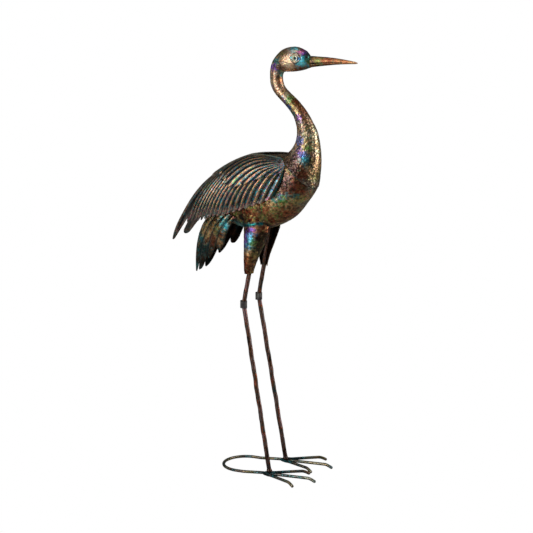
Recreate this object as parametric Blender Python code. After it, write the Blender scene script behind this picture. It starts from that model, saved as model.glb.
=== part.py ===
"""Crane garden statue: a standing crane of hammered sheet and bent iron rod, welded into one piece.

Metres, +Z up. The bird faces +X, its left side is +Y, and it stands on Z = 0 with the origin at the
bottom centre of its box. The free form of the bird is drawn in figure units, 1040 to its height, and
measured from the line through its two ankles. Sheet, rods, collars and gaps have sizes of their own.
"""
import math

import bmesh
import bpy
import numpy as np
from mathutils import Vector
from mathutils.bvhtree import BVHTree

# The whole figure
HEIGHT = 1.040
UNIT = HEIGHT / 1040
BEAK_REACH = 198 * UNIT
WING_REACH = 265 * UNIT
ANKLE_X = (WING_REACH - BEAK_REACH) / 2

# Stock: sheet, rod and the gap left where two pieces are welded
SHEET = 0.0014
LEG_ROD = 0.011
TOE_ROD = 0.007
GAP = 0.0003
ROD_SIDES = 8

# Legs and feet, measured from the ankle line
FOOT_SPREAD = 54.4 * UNIT
ANKLE_SPREAD = 50.2 * UNIT
KNEE_SPREAD = 44.4 * UNIT
KNEE_X = -70 * UNIT
KNEE_Z = 422.3 * UNIT
HIP_SPREAD = 40.1 * UNIT
HIP_X = -31.4 * UNIT
HIP_Z = 640 * UNIT
ARCH_RISE = 0.0045
KNUCKLE_RISE = 0.0066
MIDDLE_TOE = 123 * UNIT
SIDE_TOE = 112 * UNIT
SIDE_TOE_ROOT = -12 * UNIT
TOE_TIP = 16 * UNIT
OUTER_TOE_ANGLE = math.radians(28.3)
INNER_TIP_SPACE = 0.0016
INNER_TOE_ANGLE = math.asin(min(0.9, (FOOT_SPREAD - TOE_ROD / 2 - INNER_TIP_SPACE / 2) / SIDE_TOE))
LOOP_ARM = 86 * UNIT
LOOP_STEPS = 20
COLLAR_HEIGHT = 0.017
COLLAR_WALL = 0.0016
LUG_THICKNESS = 0.0022
LUG_HEIGHT = 0.019
LUG_WIDTH = 0.009
LUG_OFFSET = 0.0015
COLLAR_SIDES = 12

# Head, neck, breast and trunk: centre x, centre z, tilt in degrees, half depth, half width, squareness
HEAD_STATIONS = [
    (82, 1005.0, 90, 12.5, 9.5, 2),
    (75, 1008.5, 90, 18.5, 14, 2),
    (66, 1010.0, 90, 23.5, 17.5, 2),
    (45, 1011.0, 89, 29.0, 21.5, 2),
    (22, 1007.0, 76, 27.4, 21.5, 2),
    (4.6, 995.2, 49, 20.6, 18.5, 2),
    (-2.4, 982.8, 22, 17.0, 16.0, 2),
    (-4.4, 968.0, 3, 15.4, 15.0, 2),
]
NECK_STATIONS = [
    (-2.5, 951.0, -12, 15.4, 14.8, 2),
    (4.7, 936.5, -33, 14.6, 14.6, 2),
    (17.5, 923.5, -43, 14.2, 14.6, 2),
    (31.5, 911.0, -44, 14.9, 15.2, 2),
    (45.5, 896.5, -42, 15.8, 16.0, 2),
    (58.0, 879.0, -33, 17.4, 17.6, 2),
    (68.0, 858.0, -20, 20.6, 20.4, 2),
    (74.0, 838.0, -9, 25.0, 24.2, 2),
    (75.3, 815.0, 3, 29.6, 29.0, 2),
    (72.0, 790.0, 16, 37.0, 36.0, 2),
    (65.5, 766.0, 31, 46.0, 44.5, 2),
    (60.0, 747.5, 43.5, 53.0, 51.5, 2.1),
]
TRUNK_STATIONS = [
    (39, 728, 58, 65.5, 57.0, 2.3),
    (12, 706, 72, 79.0, 61.0, 2.6),
    (-28, 691, 86, 86.0, 62.0, 2.8),
    (-72, 678, 96, 74.0, 57.0, 2.8),
    (-110, 667, 103, 54.0, 45.0, 2.4),
    (-138, 661, 108, 30.0, 27.0, 2),
    (-152, 657, 110, 8.0, 8.0, 2),
]
HEAD_MIDDLE = 3
FIGURE_SIDES = 20
FIGURE_STEPS = 2

# Beak: centre x, centre z, half depth, half width
BEAK_STATIONS = [
    (82.6, 1006.5, 13.4, 10.8),
    (98, 1007.8, 11.8, 9.3),
    (120, 1009.2, 10.0, 7.6),
    (145, 1010.2, 7.6, 5.6),
    (172, 1010.0, 4.8, 3.6),
    (190, 1009.3, 2.8, 2.2),
    (197.6, 1008.8, 1.0, 0.9),
]
BEAK_SIDES = 16
BEAK_STEPS = 2
GAPE_DEPTH = 0.0012
GAPE_CORNERS = (BEAK_SIDES - 1, BEAK_SIDES // 2 + 1)

# Eye: an almond boss pressed into each side of the head, placed from the head's thickest station
EYE_AHEAD = 6 * UNIT
EYE_ABOVE = 4 * UNIT
EYE_LENGTH = 23 * UNIT
EYE_HEIGHT = 15 * UNIT
EYE_PROUD = 0.0022

# Wing: shape of the cowl that the sheet is pressed to, as x, crest z, widest z, half width
COWL = [
    (-266, 590, 548, 25),
    (-254, 612, 563, 40),
    (-240, 638, 580, 44),
    (-202, 692, 612, 57),
    (-160, 727.5, 640, 69),
    (-110, 757.5, 664, 75),
    (-60, 778.5, 684, 77),
    (-10, 789, 700, 76),
    (20, 791.5, 716, 69),
    (45, 788, 730, 57),
]
# Wing feathers: place from leading edge to back, root x and z, bend x and z, tip x and z, end of the coverts
LAST_FEATHER = 0.94
WING_LAYOUT = [
    (0.00, 37, 764, 40, 728, 14, 692, 0.14),
    (0.10, 37, 766, 6, 742, -17, 677, 0.34),
    (0.20, 36, 768, -30, 751, -50, 664, 0.50),
    (0.40, 34, 772, -76, 762, -107, 643, 0.68),
    (0.60, 31, 776, -104, 790, -150, 631, 0.68),
    (0.80, 28, 779, -129, 804, -189, 617, 0.62),
    (LAST_FEATHER, 25, 780, -150, 800, -216, 613, 0.58),
    (LAST_FEATHER + 0.01, 25, 780, -154, 800, -256, 560, 0.56),
    (LAST_FEATHER + 0.06, 22, 782, -171, 805, -267, 565.5, 0.56),
]
WING_FEATHERS = 17
COVERT_END = 0.56
FEATHER_RIDGE = 0.0022
TIER_STEP = 0.0022
SCALLOP = 0.035
RELIEF_START = 0.12
RELIEF_RATE = 5
WING_ROWS = (0, 0.12, 0.24, 0.36, 0.47, COVERT_END - 0.01, COVERT_END + 0.02, 0.68, 0.79, 0.9, 1)
RIVET_BEHIND = 10.5 * UNIT
RIVET_PLACE = 0.5
RIVET_RADIUS = 0.0042
RIVET_HEIGHT = 0.0024

# Tail feathers of one side, from the front edge to the rear one: place, root, bend and tip as x, y, z
TAIL_LAYOUT = [
    (0.00, -84, 52, 634, -112, 58, 604, -124, 38, 553),
    (0.25, -98, 49, 638, -134, 57, 606, -148, 35, 545),
    (0.50, -110, 45, 642, -156, 54, 610, -177, 22, 512),
    (0.75, -121, 38, 648, -183, 46, 612, -205, 7, 482),
    (1.00, -131, 30, 656, -206, 34, 620, -214.5, 4, 489),
]
TAIL_FEATHERS = 4
TAIL_RIDGE = 0.003
TAIL_NOTCH = (0.14, 0.02, 0.0, 0.02)
TAIL_ROWS = 9

# Thigh: half cone of sheet, by share of its length: front x, back x, inner y, outer y
THIGH_TOP_Z = 645 * UNIT
THIGH_HEM_Z = 600 * UNIT
THIGH_BOTTOM_Z = 500 * UNIT
THIGH_PROFILE = [
    (0.0, -9, -71, 31, 55),
    (0.35, -23, -70, 33, 56),
    (0.7, -37.5, -69, 36, 55),
    (0.9, -44, -67.5, 38.5, 53.5),
    (1.0, -46, -66, 40, 52.5),
]
THIGH_TURN = 6 * UNIT
THIGH_ROWS = 9
THIGH_COLUMNS = 9


def clear_scene():
    for item in list(bpy.data.objects):
        bpy.data.objects.remove(item, do_unlink=True)


def material(name, colour, roughness, metallic=1.0):
    made = bpy.data.materials.new(name)
    made.use_nodes = True
    shader = made.node_tree.nodes["Principled BSDF"]
    shader.inputs["Base Color"].default_value = (*colour, 1)
    shader.inputs["Roughness"].default_value = roughness
    shader.inputs["Metallic"].default_value = metallic
    made.diffuse_color = (*colour, 1)
    return made


# Each kind of piece: colour, roughness and how metallic it is
FINISHES = {
    "hammered_bronze": ((0.32, 0.17, 0.08), 0.35, 1.0),
    "teal_feather": ((0.10, 0.24, 0.25), 0.35, 1.0),
    "copper_beak": ((0.55, 0.26, 0.08), 0.35, 1.0),
    "leg_iron": ((0.16, 0.09, 0.06), 0.45, 1.0),
    "foot_iron": ((0.20, 0.20, 0.17), 0.45, 1.0),
}


def smooth_rows(rows, steps):
    """Rows of numbers, joined by a curve that passes through each of them."""
    knots = np.array(rows, dtype=float)
    padded = np.vstack([2 * knots[0] - knots[1], knots, 2 * knots[-1] - knots[-2]])
    joined = []
    for index in range(1, len(padded) - 2):
        before, start, end, after = padded[index - 1:index + 3]
        for step in range(steps):
            t = step / steps
            joined.append(0.5 * (2 * start + (end - before) * t
                                 + (2 * before - 5 * start + 4 * end - after) * t ** 2
                                 + (3 * start - before - 3 * end + after) * t ** 3))
    joined.append(knots[-1])
    return [row.tolist() for row in joined]


def between(rows, place):
    """The numbers after each row's first, at a place along those first numbers."""
    table = np.array(rows, dtype=float)
    return [float(np.interp(place, table[:, 0], table[:, column])) for column in range(1, table.shape[1])]


def make_object(name, shape, finish):
    """One named object from a bmesh, with its faces turned outwards and its own material."""
    bmesh.ops.recalc_face_normals(shape, faces=shape.faces)
    mesh = bpy.data.meshes.new(name)
    shape.to_mesh(mesh)
    shape.free()
    mesh.shade_smooth()
    mesh.set_sharp_from_angle(angle=math.radians(40))
    made = bpy.data.objects.new(name, mesh)
    made.data.materials.append(material(name, *FINISHES[finish]))
    bpy.context.collection.objects.link(made)
    return made


def loft(name, rings, finish):
    """A closed body through rings that have the same number of points."""
    shape = bmesh.new()
    loops = [[shape.verts.new(point) for point in ring] for ring in rings]
    for near, far in zip(loops, loops[1:]):
        for index in range(len(near)):
            following = (index + 1) % len(near)
            shape.faces.new((near[index], near[following], far[following], far[index]))
    shape.faces.new(loops[0])
    shape.faces.new(loops[-1])
    return make_object(name, shape, finish)


def pressed_sheet(name, outer, inner, finish):
    """A closed sheet between two grids of points, outer and inner, with its edges filled."""
    shape = bmesh.new()
    faces_out = [[shape.verts.new(point) for point in row] for row in outer]
    faces_in = [[shape.verts.new(point) for point in row] for row in inner]
    rows = len(outer)
    columns = len(outer[0])
    for row in range(rows - 1):
        for column in range(columns - 1):
            corners = ((row, column), (row, column + 1), (row + 1, column + 1), (row + 1, column))
            shape.faces.new([faces_out[r][c] for r, c in corners])
            shape.faces.new([faces_in[r][c] for r, c in (corners[0], corners[3], corners[2], corners[1])])
    border = [(0, column) for column in range(columns)]
    border += [(row, columns - 1) for row in range(1, rows)]
    border += [(rows - 1, column) for column in range(columns - 2, -1, -1)]
    border += [(row, 0) for row in range(rows - 2, 0, -1)]
    for here, there in zip(border, border[1:] + border[:1]):
        shape.faces.new((faces_out[here[0]][here[1]], faces_out[there[0]][there[1]],
                         faces_in[there[0]][there[1]], faces_in[here[0]][here[1]]))
    bmesh.ops.triangulate(shape, faces=shape.faces, quad_method="FIXED")
    return make_object(name, shape, finish)


def rod_rings(path, diameter, sides=ROD_SIDES):
    """Rings along a path of points, with a flat side down wherever the rod lies level."""
    points = [Vector(point) for point in path]
    corner_radius = diameter / 2 / math.cos(math.pi / sides)
    rings = []
    for index, point in enumerate(points):
        into = (point - points[index - 1]).normalized() if index else None
        out = (points[index + 1] - point).normalized() if index < len(points) - 1 else None
        along = ((into or out) + (out or into)).normalized()
        level = Vector((0, 0, 1)) if abs(along.z) < 0.8 else Vector((1, 0, 0))
        side = along.cross(level).normalized()
        up = side.cross(along).normalized()
        turns = [2 * math.pi * (corner + 0.5) / sides for corner in range(sides)]
        rings.append([point + corner_radius * (math.cos(turn) * side + math.sin(turn) * up) for turn in turns])
    return rings


def surface_of(made):
    return BVHTree.FromPolygons([vert.co.copy() for vert in made.data.vertices],
                                [tuple(face.vertices) for face in made.data.polygons])


def figure_rows():
    """The whole figure's smooth rows: those down to the weld at the neck's foot, and those from it on."""
    rows = smooth_rows(HEAD_STATIONS + NECK_STATIONS + TRUNK_STATIONS, FIGURE_STEPS)
    weld = FIGURE_STEPS * (len(HEAD_STATIONS + NECK_STATIONS) - 1)
    return rows[:weld + 1], rows[weld:]


def figure_rings(rows):
    """Oval rings of the bird's own form, from rows in figure units."""
    rings = []
    for x, z, tilt, half_depth, half_width, squareness in rows:
        backward = Vector((-math.cos(math.radians(tilt)), 0, math.sin(math.radians(tilt))))
        centre = Vector((x, 0, z))
        ring = []
        for corner in range(FIGURE_SIDES):
            turn = 2 * math.pi * corner / FIGURE_SIDES
            reach = (abs(math.cos(turn)) ** squareness + abs(math.sin(turn)) ** squareness) ** (-1 / squareness)
            ring.append(UNIT * (centre + half_depth * reach * math.cos(turn) * backward
                                + Vector((0, half_width * reach * math.sin(turn), 0))))
        rings.append(ring)
    return rings


def combine(target, other, operation):
    """A boss fused into a piece, or a cutter taken out of it."""
    step = target.modifiers.new(other.name, "BOOLEAN")
    step.operation = operation
    step.object = other
    other.hide_render = True
    other.display_type = "WIRE"


def make_head_and_neck():
    rows, _ = figure_rows()
    made = loft("neck_and_head", figure_rings(rows), "hammered_bronze")
    surface = surface_of(made)
    eye_x = HEAD_STATIONS[HEAD_MIDDLE][0] * UNIT + EYE_AHEAD
    eye_z = HEAD_STATIONS[HEAD_MIDDLE][1] * UNIT + EYE_ABOVE
    for side in (-1, 1):
        hit = surface.ray_cast(Vector((eye_x, side, eye_z)), Vector((0, -side, 0)))
        combine(made, eye_boss(side, hit[0]), "UNION")
    return made


def eye_boss(side, seat):
    shape = bmesh.new()
    bmesh.ops.create_uvsphere(shape, u_segments=14, v_segments=8, radius=1)
    for vert in shape.verts:
        vert.co = Vector((vert.co.x * EYE_LENGTH / 2, vert.co.y * EYE_PROUD * 2, vert.co.z * EYE_HEIGHT / 2))
    boss = make_object("eye_cutter_left" if side > 0 else "eye_cutter_right", shape, "hammered_bronze")
    boss.location = seat - Vector((0, side * EYE_PROUD, 0))
    return boss


def trunk_rings(growth):
    _, rows = figure_rows()
    rings = figure_rings(rows)
    tilt = math.radians(rows[0][2])
    weld = Vector((-math.sin(tilt), 0, -math.cos(tilt)))
    rings[0] = [point + weld * GAP for point in rings[0]]
    grown = []
    for ring in rings:
        centre = sum(ring, Vector()) / len(ring)
        grown.append([point + (point - centre).normalized() * growth for point in ring])
    return grown


def make_trunk():
    """The trunk, and a cutter one gap larger for what is welded under it."""
    trunk = loft("trunk", trunk_rings(0), "hammered_bronze")
    return trunk, loft("trunk_clearance", trunk_rings(GAP * 1.3), "hammered_bronze")


def make_beak():
    rings = []
    for x, z, half_depth, half_width in smooth_rows(BEAK_STATIONS, BEAK_STEPS):
        ring = []
        for corner in range(BEAK_SIDES):
            turn = 2 * math.pi * corner / BEAK_SIDES
            pinch = max(0.3, 1 - GAPE_DEPTH / (UNIT * half_width)) if corner in GAPE_CORNERS else 1
            ring.append(Vector((x * UNIT, math.cos(turn) * half_width * pinch * UNIT,
                                (z + math.sin(turn) * half_depth) * UNIT)))
        rings.append(ring)
    rings[0] = [point + Vector((GAP, 0, 0)) for point in rings[0]]
    return loft("beak", rings, "copper_beak")


def cowl_depth(x, z):
    """How far out of the bird's middle plane the wing's sheet lies, in metres."""
    crest, widest, half_width = between(COWL, x / UNIT)
    rise = (z / UNIT - widest) / (crest - widest)
    if rise > 0:
        return UNIT * half_width * math.sqrt(max(0.0025, 1 - rise ** 2))
    return UNIT * half_width * (1 - 0.08 * rise ** 2)


def cowl_normal(x, z, step=0.002):
    slope_x = (cowl_depth(x + step, z) - cowl_depth(x - step, z)) / (2 * step)
    slope_z = (cowl_depth(x, z + step) - cowl_depth(x, z - step)) / (2 * step)
    return Vector((-slope_x, 1, -slope_z)).normalized()


def wing_point(place, along):
    """A point of the wing in the middle plane: place across it and distance along a feather."""
    root_x, root_z, bend_x, bend_z, tip_x, tip_z, _ = between(WING_LAYOUT, place)
    x = (1 - along) ** 2 * root_x + 2 * along * (1 - along) * bend_x + along ** 2 * tip_x
    z = (1 - along) ** 2 * root_z + 2 * along * (1 - along) * bend_z + along ** 2 * tip_z
    return x * UNIT, z * UNIT


def wing_grids():
    """Outer and inner points of the left wing: a fan of ridged feathers, the coverts set between the others."""
    places = [LAST_FEATHER * column / (2 * WING_FEATHERS) for column in range(2 * WING_FEATHERS + 1)]
    edge = [place for place, *_ in WING_LAYOUT if place > LAST_FEATHER]
    places += [edge[0], (edge[0] + edge[-1]) / 2, edge[-1]]
    outer = []
    inner = []
    for row in WING_ROWS:
        row_out = []
        row_in = []
        for column, place in enumerate(places):
            upper = row < COVERT_END
            in_fan = place <= LAST_FEATHER
            on_ridge = (column % 2 == (0 if upper else 1)) if in_fan else column == len(places) - 2
            shortened = SCALLOP * (column % 2 == 0) if in_fan else SCALLOP / 2 * (not on_ridge)
            along = between(((0, 0), (COVERT_END, between(WING_LAYOUT, place)[-1]), (1, 1)), row)[0]
            x, z = wing_point(place, along * (1 - shortened))
            spread = min(1, max(0, along - RELIEF_START) * RELIEF_RATE)
            lift = FEATHER_RIDGE * spread if on_ridge else 0
            lift += TIER_STEP * spread if upper else 0
            normal = cowl_normal(x, z)
            base = Vector((x, cowl_depth(x, z), z))
            row_out.append(base + normal * (lift + SHEET))
            row_in.append(base + normal * lift)
        outer.append(row_out)
        inner.append(row_in)
    return outer, inner


def mirrored(points, side):
    return [[Vector((point.x, side * point.y, point.z)) for point in row] for row in points]


def make_wings():
    outer, inner = wing_grids()
    for side, label in ((-1, "right"), (1, "left")):
        wing = pressed_sheet("wing_" + label, mirrored(outer, side), mirrored(inner, side), "teal_feather")
        make_rivet("wing_rivet_" + label, side, surface_of(wing))


def make_rivet(name, side, surface):
    """A low round head that stands on the wing's shoulder."""
    root_x, root_z = wing_point(RIVET_PLACE, 0)
    hit = surface.ray_cast(Vector((root_x - RIVET_BEHIND, side, root_z)), Vector((0, -side, 0)))
    out = hit[1] if hit[1].y * side > 0 else -hit[1]
    turned = out.to_track_quat("Z", "Y")
    above = hit[0] + out * RIVET_RADIUS
    drops = [RIVET_RADIUS]
    for corner in range(12):
        turn = 2 * math.pi * corner / 12
        rim = above + turned @ Vector((math.cos(turn) * RIVET_RADIUS, math.sin(turn) * RIVET_RADIUS, 0))
        drop = surface.ray_cast(rim, -out)[3]
        drops.append(RIVET_RADIUS if drop is None else drop)
    seat = above - out * (min(drops) - 2 * GAP)
    profile = ((1.0, 0), (1.0, 0.45), (0.72, 0.85), (0.3, 1.0))
    rings = []
    for share, rise in profile:
        ring = []
        for corner in range(12):
            turn = 2 * math.pi * corner / 12
            flat = Vector((math.cos(turn) * RIVET_RADIUS * share, math.sin(turn) * RIVET_RADIUS * share,
                           RIVET_HEIGHT * rise))
            ring.append(seat + turned @ flat)
        rings.append(ring)
    return loft(name, rings, "leg_iron")


def tail_grids(surface):
    """Outer and inner points of the left tail: strips side by side, parted only near their tips."""
    steps = len(TAIL_NOTCH)
    columns = steps * TAIL_FEATHERS
    centres = []
    for row in range(TAIL_ROWS):
        share = row / (TAIL_ROWS - 1)
        share += 0.3 * share * (1 - share)
        line = []
        for column in range(columns + 1):
            numbers = between(TAIL_LAYOUT, column / columns)
            root, bend, tip = (Vector(numbers[start:start + 3]) * UNIT for start in (0, 3, 6))
            t = share * (1 - TAIL_NOTCH[column % steps])
            line.append((1 - t) ** 2 * root + 2 * t * (1 - t) * bend + t ** 2 * tip)
        centres.append(line)
    outer = []
    inner = []
    for row, line in enumerate(centres):
        row_out = []
        row_in = []
        for column, point in enumerate(line):
            down = centres[min(row + 1, TAIL_ROWS - 1)][column] - centres[max(row - 1, 0)][column]
            across = line[min(column + 1, columns)] - line[max(column - 1, 0)]
            out = down.cross(across).normalized()
            if out.y < 0:
                out = -out
            ridge = TAIL_RIDGE * math.sin(math.pi * (column % steps) / steps)
            base = clear_of(point + out * ridge, surface)
            row_in.append(base)
            row_out.append(base + out * SHEET)
        outer.append(row_out)
        inner.append(row_in)
    return outer, inner


def clear_of(point, surface):
    """The point, or the nearest place just outside a surface if the point is in or on it."""
    nearest, normal, _, distance = surface.find_nearest(point)
    stand_off = GAP + SHEET / 2
    if (point - nearest).dot(normal) > 0 and distance > stand_off:
        return point
    return nearest + normal * stand_off


def make_tail(surface):
    outer, inner = tail_grids(surface)
    for side, label in ((-1, "right"), (1, "left")):
        pressed_sheet("tail_" + label, mirrored(outer, side), mirrored(inner, side), "hammered_bronze")


def make_thigh(name, side, clearance):
    """Half a cone of sheet around the leg, open on the inner side, its top cut to the trunk."""
    outer = []
    inner = []
    for row in range(THIGH_ROWS):
        share = row / (THIGH_ROWS - 1)
        share = share + 0.3 * share * (1 - share)
        front, back, inner_y, outer_y = (size * UNIT for size in between(THIGH_PROFILE, share))
        z = THIGH_HEM_Z + (THIGH_BOTTOM_Z - THIGH_HEM_Z) * share if row else THIGH_TOP_Z
        for grid, inset in ((outer, 0), (inner, SHEET)):
            line = []
            for column in range(THIGH_COLUMNS):
                turn = math.pi * column / (THIGH_COLUMNS - 1)
                x = (front + back) / 2 + ((front - back) / 2 - inset) * math.cos(turn)
                y = inner_y + (outer_y - inner_y - inset) * math.sin(turn)
                y += THIGH_TURN * (1 - math.cos(turn)) / 2
                line.append(Vector((x, side * y, z)))
            grid.append(line)
    thigh = pressed_sheet(name, outer, inner, "hammered_bronze")
    combine(thigh, clearance, "DIFFERENCE")
    return thigh


def cut_to_plane(ring, along, point, normal):
    """A ring's points slid along the rod to a plane, for a mitred or flush end."""
    return [corner + along * (point - corner).dot(normal) / along.dot(normal) for corner in ring]


def make_leg(side, label, clearance):
    """Two rods that meet in a mitre at the knee, inside a collar."""
    ankle = Vector((0, side * ANKLE_SPREAD, TOE_ROD + ARCH_RISE + GAP))
    knee = Vector((KNEE_X, side * KNEE_SPREAD, KNEE_Z))
    hip = Vector((HIP_X, side * HIP_SPREAD, HIP_Z))
    up_shin = (knee - ankle).normalized()
    up_thigh = (hip - knee).normalized()
    through = (up_shin + up_thigh).normalized()
    level = Vector((0, 0, 1))
    lower = rod_rings([ankle, knee], LEG_ROD)
    lower[0] = cut_to_plane(lower[0], up_shin, ankle, level)
    lower[1] = cut_to_plane(lower[1], up_shin, knee - through * GAP / 2, through)
    loft("lower_leg_" + label, lower, "leg_iron")
    upper = rod_rings([knee, hip], LEG_ROD)
    upper[0] = cut_to_plane(upper[0], up_thigh, knee + through * GAP / 2, through)
    combine(loft("upper_leg_" + label, upper, "leg_iron"), clearance, "DIFFERENCE")
    lean = COLLAR_HEIGHT / 2 * math.tan(up_shin.angle(up_thigh) / 2)
    make_collar("knee_collar_" + label, knee, through, lean)


def make_collar(name, knee, along, lean):
    """A short sleeve over the joint of the two rods, with an upright lug in front and one behind."""
    bore = LEG_ROD / 2 / math.cos(math.pi / ROD_SIDES) + lean + GAP
    turned = along.to_track_quat("Z", "Y")
    shape = bmesh.new()
    loops = []
    for radius, level in ((bore, -0.5), (bore, 0.5), (bore + COLLAR_WALL, 0.5), (bore + COLLAR_WALL, -0.5)):
        ring = []
        for corner in range(COLLAR_SIDES):
            turn = 2 * math.pi * (corner + 0.5) / COLLAR_SIDES
            reach = radius / math.cos(math.pi / COLLAR_SIDES)
            flat = Vector((reach * math.cos(turn), reach * math.sin(turn), level * COLLAR_HEIGHT))
            ring.append(shape.verts.new(knee + turned @ flat))
        loops.append(ring)
    for near, far in zip(loops, loops[1:] + loops[:1]):
        for index in range(COLLAR_SIDES):
            following = (index + 1) % COLLAR_SIDES
            shape.faces.new((near[index], near[following], far[following], far[index]))
    collar = make_object(name, shape, "leg_iron")
    for place, facing, rise in (("front", 1, LUG_OFFSET), ("back", -1, -LUG_OFFSET)):
        block = bmesh.new()
        bmesh.ops.create_cube(block, size=1)
        for vert in block.verts:
            vert.co = Vector((vert.co.x * LUG_THICKNESS, vert.co.y * LUG_WIDTH, vert.co.z * LUG_HEIGHT))
        lug = make_object("%s_%s_lug" % (name, place), block, "leg_iron")
        reach = bore + COLLAR_WALL + LUG_THICKNESS / 2 - COLLAR_WALL / 3
        lug.location = knee + turned @ Vector((facing * reach, 0, rise))
        lug.rotation_mode = "QUATERNION"
        lug.rotation_quaternion = turned
        combine(collar, lug, "UNION")


def make_foot_rod():
    """One rod: the right middle toe, the loop behind both feet and the left middle toe."""
    rest = TOE_ROD / 2
    half = [
        (MIDDLE_TOE, FOOT_SPREAD, rest),
        (MIDDLE_TOE - TOE_TIP, FOOT_SPREAD, rest + KNUCKLE_RISE),
        (MIDDLE_TOE - 2 * TOE_TIP, FOOT_SPREAD, rest + KNUCKLE_RISE + 0.0004),
        (TOE_ROD * 2, FOOT_SPREAD, rest + ARCH_RISE),
        (-TOE_ROD * 2, FOOT_SPREAD, rest + ARCH_RISE),
        (-LOOP_ARM * 0.8, FOOT_SPREAD, rest),
    ]
    loop = []
    for step in range(LOOP_STEPS + 1):
        turn = math.pi / 2 + math.pi * step / LOOP_STEPS
        loop.append((-LOOP_ARM + FOOT_SPREAD * math.cos(turn), FOOT_SPREAD * math.sin(turn), rest))
    other_half = [(x, -y, z) for x, y, z in reversed(half)]
    return loft("foot_loop", rod_rings(half + loop + other_half, TOE_ROD), "foot_iron")


def make_side_toe(name, side, turn):
    """A toe rod that leaves the foot rod at an angle, cut flush against it."""
    rest = TOE_ROD / 2
    ahead = Vector((math.cos(turn), math.sin(turn), 0))
    root = Vector((SIDE_TOE_ROOT, side * FOOT_SPREAD, 0))
    up = Vector((0, 0, 1))
    start = TOE_ROD / abs(math.sin(turn))
    path = [
        root + ahead * start + up * (rest + ARCH_RISE),
        root + ahead * (SIDE_TOE - 2 * TOE_TIP) + up * (rest + KNUCKLE_RISE + 0.0004),
        root + ahead * (SIDE_TOE - TOE_TIP) + up * (rest + KNUCKLE_RISE),
        root + ahead * SIDE_TOE + up * rest,
    ]
    rings = rod_rings(path, TOE_ROD)
    outward = 1 if turn > 0 else -1
    face_y = side * FOOT_SPREAD + outward * (rest + GAP)
    along = (path[1] - path[0]).normalized()
    rings[0] = cut_to_plane(rings[0], along, Vector((0, face_y, 0)), Vector((0, 1, 0)))
    return loft(name, rings, "foot_iron")


def make_feet():
    make_foot_rod()
    for side, label in ((-1, "right"), (1, "left")):
        make_side_toe("inner_toe_" + label, side, -side * INNER_TOE_ANGLE)
        make_side_toe("outer_toe_" + label, side, side * OUTER_TOE_ANGLE)


def make_statue():
    clear_scene()
    trunk, clearance = make_trunk()
    surface = surface_of(trunk)
    make_head_and_neck()
    make_beak()
    make_wings()
    make_tail(surface)
    for side, label in ((-1, "right"), (1, "left")):
        make_thigh("thigh_" + label, side, clearance)
        make_leg(side, label, clearance)
    make_feet()
    stand = bpy.data.objects.new("statue", None)
    bpy.context.collection.objects.link(stand)
    stand.location = (ANKLE_X, 0, 0)
    for made in bpy.data.objects:
        if made.type == "MESH":
            made.parent = stand


make_statue()
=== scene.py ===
import math

import bpy
import numpy as np
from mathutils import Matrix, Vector, noise
from mathutils.bvhtree import BVHTree


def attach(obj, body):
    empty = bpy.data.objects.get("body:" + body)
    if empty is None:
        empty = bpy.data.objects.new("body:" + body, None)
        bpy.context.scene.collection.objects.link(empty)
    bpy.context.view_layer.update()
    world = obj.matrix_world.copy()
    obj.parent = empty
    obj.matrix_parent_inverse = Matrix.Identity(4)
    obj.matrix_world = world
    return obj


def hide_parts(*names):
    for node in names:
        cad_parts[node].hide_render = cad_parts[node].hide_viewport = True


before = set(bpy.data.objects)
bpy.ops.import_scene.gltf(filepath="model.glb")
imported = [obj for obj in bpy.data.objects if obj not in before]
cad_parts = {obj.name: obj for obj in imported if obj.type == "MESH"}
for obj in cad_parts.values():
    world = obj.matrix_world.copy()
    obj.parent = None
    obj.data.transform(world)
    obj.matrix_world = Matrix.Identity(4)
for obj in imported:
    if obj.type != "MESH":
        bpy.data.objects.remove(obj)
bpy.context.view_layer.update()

# Forms are drawn in millimetres from the ankle line, and the part's frame starts ANKLE_X behind it
MM = 0.001
ANKLE_X = 0.0335


# Head, neck, breast and trunk: centre x, centre z, tilt in degrees, half depth, half width, squareness
HEAD_STATIONS = [
    (82, 1005.0, 90, 12.5, 9.5, 2),
    (75, 1008.5, 90, 18.5, 14, 2),
    (66, 1010.0, 90, 23.5, 17.5, 2),
    (45, 1011.0, 89, 29.0, 21.5, 2),
    (22, 1007.0, 76, 27.4, 21.5, 2),
    (4.6, 995.2, 49, 20.6, 18.5, 2),
    (-2.4, 982.8, 22, 17.0, 16.0, 2),
    (-4.4, 968.0, 3, 15.4, 15.0, 2),
    (-2.5, 951.0, -12, 15.4, 14.8, 2),
    (4.7, 936.5, -33, 14.6, 14.6, 2),
    (17.5, 923.5, -43, 14.2, 14.6, 2),
    (31.5, 911.0, -44, 14.9, 15.2, 2),
    (45.5, 896.5, -42, 15.8, 16.0, 2),
    (58.0, 879.0, -33, 17.4, 17.6, 2),
    (68.0, 858.0, -20, 20.6, 20.4, 2),
    (74.0, 838.0, -9, 25.0, 24.2, 2),
    (75.3, 815.0, 3, 29.6, 29.0, 2),
    (72.0, 790.0, 16, 37.0, 36.0, 2),
    (65.5, 766.0, 31, 46.0, 44.5, 2),
    (60.0, 747.5, 43.5, 53.0, 51.5, 2.1),
]
TRUNK_STATIONS = [
    (39, 728, 58, 65.5, 57.0, 2.3),
    (12, 706, 72, 79.0, 61.0, 2.6),
    (-28, 691, 86, 86.0, 62.0, 2.8),
    (-72, 678, 96, 74.0, 57.0, 2.8),
    (-110, 667, 103, 54.0, 45.0, 2.4),
    (-138, 661, 108, 30.0, 27.0, 2),
    (-152, 657, 110, 8.0, 8.0, 2),
]
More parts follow.
